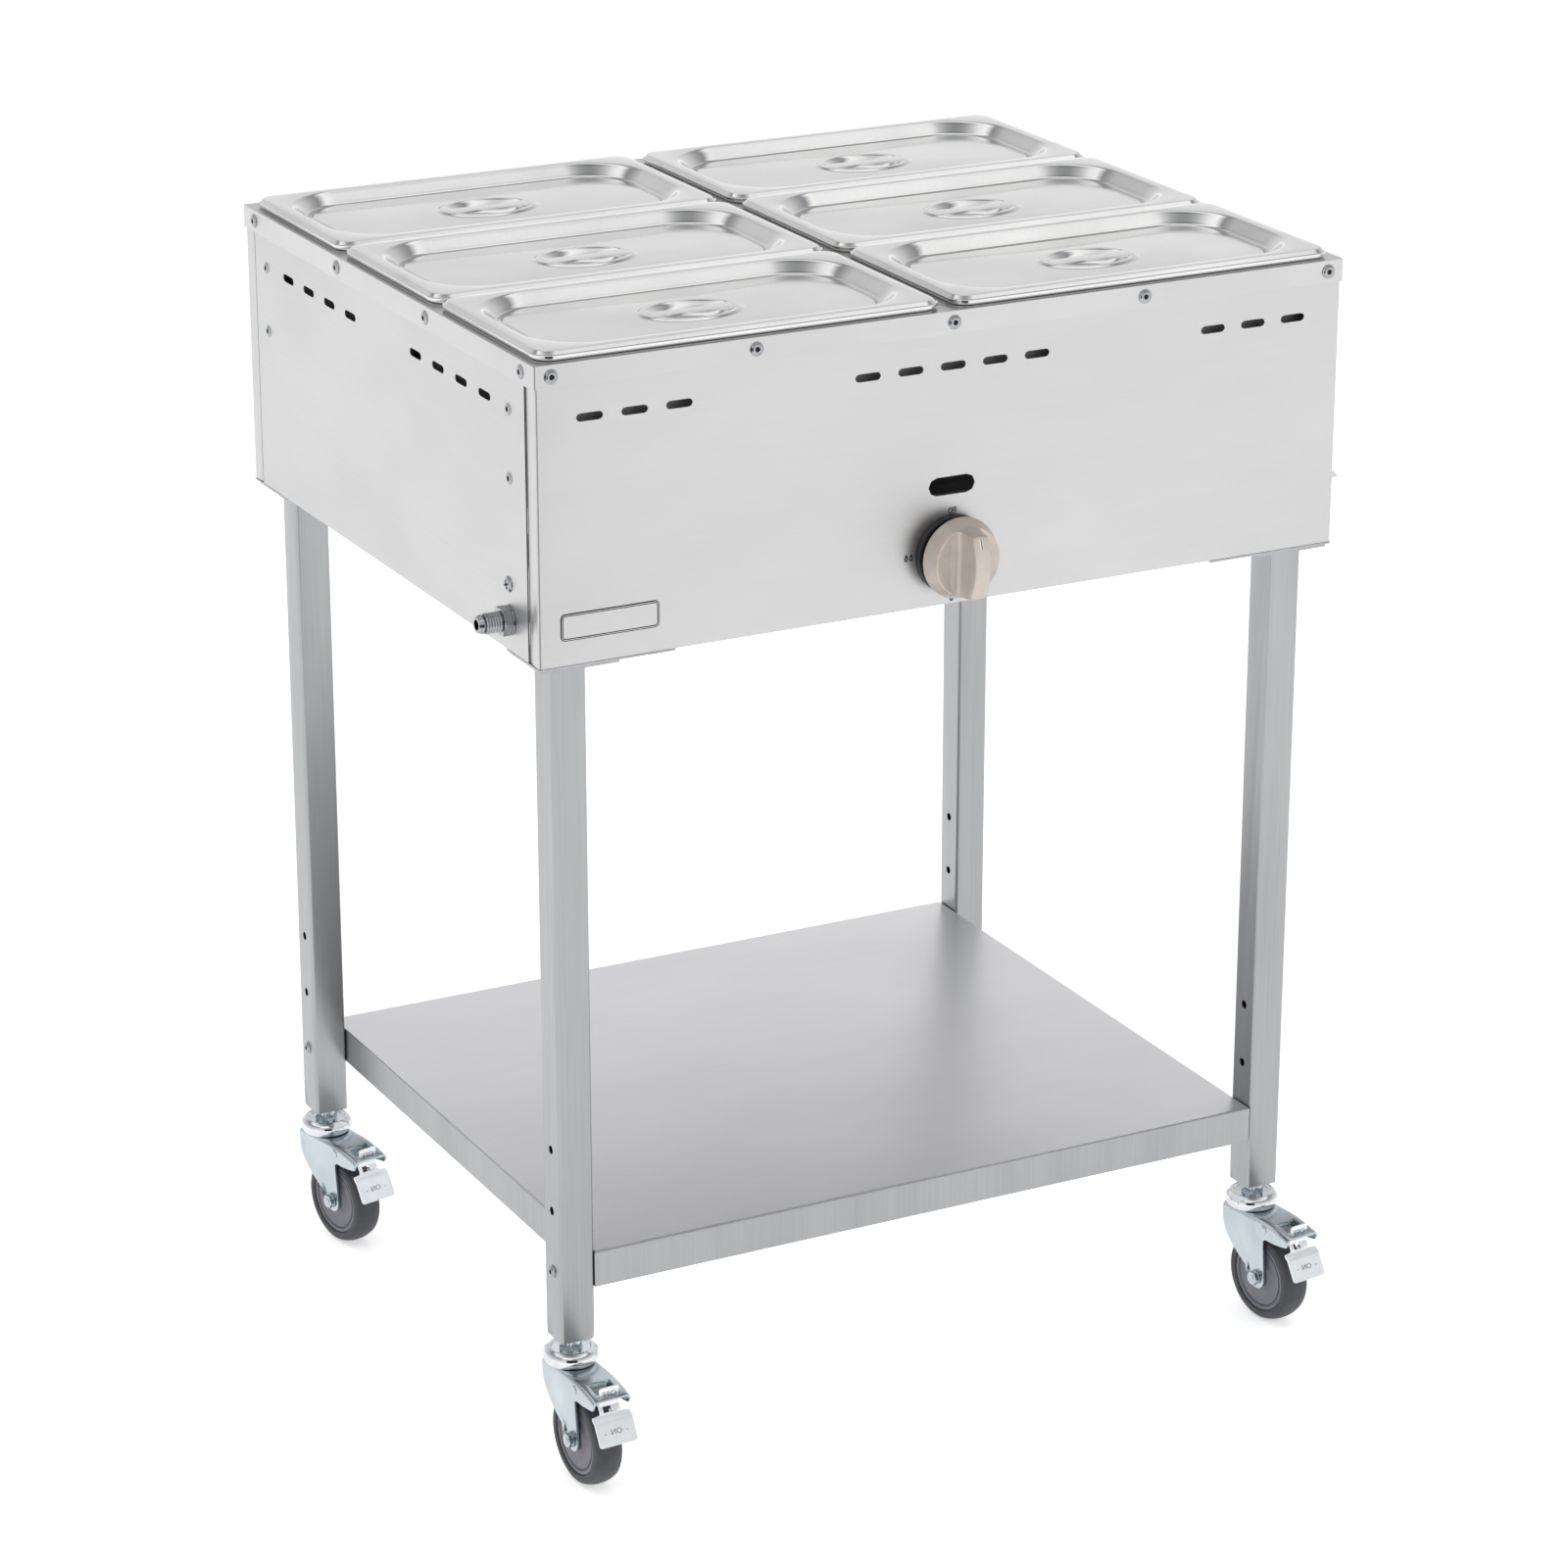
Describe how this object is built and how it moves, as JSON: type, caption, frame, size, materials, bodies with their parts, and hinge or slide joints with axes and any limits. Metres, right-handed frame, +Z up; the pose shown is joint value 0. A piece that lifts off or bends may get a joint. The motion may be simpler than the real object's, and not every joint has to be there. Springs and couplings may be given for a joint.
{
  "type": "gas steam table",
  "caption": "Stainless gas steam table with lidded food pans over a water tank, on square legs with a lower shelf and swivel casters with brakes.",
  "frame": {"origin": "centre of the bounding box in plan, on the floor under the wheels", "axes": "+X to the right along the front, +Y to the back, +Z up"},
  "size_m": [0.7318, 0.5922, 0.886],
  "materials": {
    "body_steel": "satin brushed",
    "pan_steel": "polished",
    "leg_steel": "brushed lengthways",
    "zinc": "bright zinc plate",
    "brass": "satin",
    "cast_iron": "rough",
    "knob_tan": "satin metallic",
    "black_plastic": "matt",
    "grey_plastic": "matt",
    "tyre": "matt"
  },
  "bodies": {
    "table": {"top_frame": "body_steel", "front_panel": "body_steel", "back_panel": "body_steel", "left_panel": "body_steel", "right_panel": "body_steel", "divider_rack": "body_steel", "water_tank": "body_steel", "drain_spout": "body_steel", "burner": "cast_iron", "gas_valve": "brass", "gas_inlet": "zinc", "gas_pipe": "brass", "knob_bezel": "black_plastic", "shelf": "leg_steel", "leg_front_left": "leg_steel", "corner_plate_front_left": "body_steel", "caster_head_front_left": "zinc", "leg_front_right": "leg_steel", "corner_plate_front_right": "body_steel", "caster_head_front_right": "zinc", "leg_back_left": "leg_steel", "corner_plate_back_left": "body_steel", "caster_head_back_left": "zinc", "leg_back_right": "leg_steel", "corner_plate_back_right": "body_steel", "caster_head_back_right": "zinc"},
    "valve_stem": {"valve_stem": "brass"},
    "knob": {"knob": "knob_tan"},
    "pan_front_left": {"pan_front_left": "pan_steel"},
    "lid_front_left": {"lid_front_left": "pan_steel"},
    "pan_front_right": {"pan_front_right": "pan_steel"},
    "lid_front_right": {"lid_front_right": "pan_steel"},
    "pan_middle_left": {"pan_middle_left": "pan_steel"},
    "lid_middle_left": {"lid_middle_left": "pan_steel"},
    "pan_middle_right": {"pan_middle_right": "pan_steel"},
    "lid_middle_right": {"lid_middle_right": "pan_steel"},
    "pan_back_left": {"pan_back_left": "pan_steel"},
    "lid_back_left": {"lid_back_left": "pan_steel"},
    "pan_back_right": {"pan_back_right": "pan_steel"},
    "lid_back_right": {"lid_back_right": "pan_steel"},
    "fork_front_left": {"caster_fork_front_left": "zinc", "axle_bolt_front_left": "zinc"},
    "wheel_front_left": {"wheel_hub_front_left": "grey_plastic", "tyre_front_left": "tyre"},
    "brake_front_left": {"brake_pedal_front_left": "zinc"},
    "fork_front_right": {"caster_fork_front_right": "zinc", "axle_bolt_front_right": "zinc"},
    "wheel_front_right": {"wheel_hub_front_right": "grey_plastic", "tyre_front_right": "tyre"},
    "brake_front_right": {"brake_pedal_front_right": "zinc"},
    "fork_back_left": {"caster_fork_back_left": "zinc", "axle_bolt_back_left": "zinc"},
    "wheel_back_left": {"wheel_hub_back_left": "grey_plastic", "tyre_back_left": "tyre"},
    "brake_back_left": {"brake_pedal_back_left": "zinc"},
    "fork_back_right": {"caster_fork_back_right": "zinc", "axle_bolt_back_right": "zinc"},
    "wheel_back_right": {"wheel_hub_back_right": "grey_plastic", "tyre_back_right": "tyre"},
    "brake_back_right": {"brake_pedal_back_right": "zinc"}
  },
  "joints": [
    {"name": "knob_push", "type": "slide", "parent": "table", "child": "valve_stem", "axis": [0, 1, 0], "range_m": [0, 0.003], "stiffness_N_per_m": 2000},
    {"name": "knob_turn", "type": "hinge", "parent": "valve_stem", "child": "knob", "pos_m": [-0.00522, -0.24815, 0.6951], "axis": [0, -1, 0], "range_deg": [0, 180]},
    {"name": "pan_lift_front_left", "type": "slide", "parent": "table", "child": "pan_front_left", "axis": [0, 0, 1], "range_m": [0, 0.13]},
    {"name": "lid_lift_front_left", "type": "slide", "parent": "pan_front_left", "child": "lid_front_left", "axis": [0, 0, 1], "range_m": [0, 0.06]},
    {"name": "pan_lift_front_right", "type": "slide", "parent": "table", "child": "pan_front_right", "axis": [0, 0, 1], "range_m": [0, 0.13]},
    {"name": "lid_lift_front_right", "type": "slide", "parent": "pan_front_right", "child": "lid_front_right", "axis": [0, 0, 1], "range_m": [0, 0.06]},
    {"name": "pan_lift_middle_left", "type": "slide", "parent": "table", "child": "pan_middle_left", "axis": [0, 0, 1], "range_m": [0, 0.13]},
    {"name": "lid_lift_middle_left", "type": "slide", "parent": "pan_middle_left", "child": "lid_middle_left", "axis": [0, 0, 1], "range_m": [0, 0.06]},
    {"name": "pan_lift_middle_right", "type": "slide", "parent": "table", "child": "pan_middle_right", "axis": [0, 0, 1], "range_m": [0, 0.13]},
    {"name": "lid_lift_middle_right", "type": "slide", "parent": "pan_middle_right", "child": "lid_middle_right", "axis": [0, 0, 1], "range_m": [0, 0.06]},
    {"name": "pan_lift_back_left", "type": "slide", "parent": "table", "child": "pan_back_left", "axis": [0, 0, 1], "range_m": [0, 0.13]},
    {"name": "lid_lift_back_left", "type": "slide", "parent": "pan_back_left", "child": "lid_back_left", "axis": [0, 0, 1], "range_m": [0, 0.06]},
    {"name": "pan_lift_back_right", "type": "slide", "parent": "table", "child": "pan_back_right", "axis": [0, 0, 1], "range_m": [0, 0.13]},
    {"name": "lid_lift_back_right", "type": "slide", "parent": "pan_back_right", "child": "lid_back_right", "axis": [0, 0, 1], "range_m": [0, 0.06]},
    {"name": "swivel_front_left", "type": "hinge", "parent": "table", "child": "fork_front_left", "pos_m": [-0.30972, -0.21795, 0.095], "axis": [0, 0, 1], "continuous": true},
    {"name": "wheel_roll_front_left", "type": "hinge", "parent": "fork_front_left", "child": "wheel_front_left", "pos_m": [-0.30825, -0.24191, 0.0375], "axis": [0.9981, 0.061, 0], "continuous": true},
    {"name": "brake_press_front_left", "type": "hinge", "parent": "fork_front_left", "child": "brake_front_left", "pos_m": [-0.30761, -0.25239, 0.0845], "axis": [0.9981, 0.061, 0], "range_deg": [0, 11]},
    {"name": "swivel_front_right", "type": "hinge", "parent": "table", "child": "fork_front_right", "pos_m": [0.29929, -0.21795, 0.095], "axis": [0, 0, 1], "continuous": true},
    {"name": "wheel_roll_front_right", "type": "hinge", "parent": "fork_front_right", "child": "wheel_front_right", "pos_m": [0.30242, -0.24174, 0.0375], "axis": [0.9914, 0.1305, 0], "continuous": true},
    {"name": "brake_press_front_right", "type": "hinge", "parent": "fork_front_right", "child": "brake_front_right", "pos_m": [0.30379, -0.25216, 0.0845], "axis": [0.9914, 0.1305, 0], "range_deg": [0, 11]},
    {"name": "swivel_back_left", "type": "hinge", "parent": "table", "child": "fork_back_left", "pos_m": [-0.30972, 0.26305, 0.095], "axis": [0, 0, 1], "continuous": true},
    {"name": "wheel_roll_back_left", "type": "hinge", "parent": "fork_back_left", "child": "wheel_back_left", "pos_m": [-0.30473, 0.23957, 0.0375], "axis": [0.9781, 0.2079, 0], "continuous": true},
    {"name": "brake_press_back_left", "type": "hinge", "parent": "fork_back_left", "child": "brake_back_left", "pos_m": [-0.30254, 0.2293, 0.0845], "axis": [0.9781, 0.2079, 0], "range_deg": [0, 11]},
    {"name": "swivel_back_right", "type": "hinge", "parent": "table", "child": "fork_back_right", "pos_m": [0.29929, 0.26305, 0.095], "axis": [0, 0, 1], "continuous": true},
    {"name": "wheel_roll_back_right", "type": "hinge", "parent": "fork_back_right", "child": "wheel_back_right", "pos_m": [0.30138, 0.23914, 0.0375], "axis": [0.9962, 0.0872, 0], "continuous": true},
    {"name": "brake_press_back_right", "type": "hinge", "parent": "fork_back_right", "child": "brake_back_right", "pos_m": [0.30229, 0.22868, 0.0845], "axis": [0.9962, 0.0872, 0], "range_deg": [0, 11]}
  ]
}
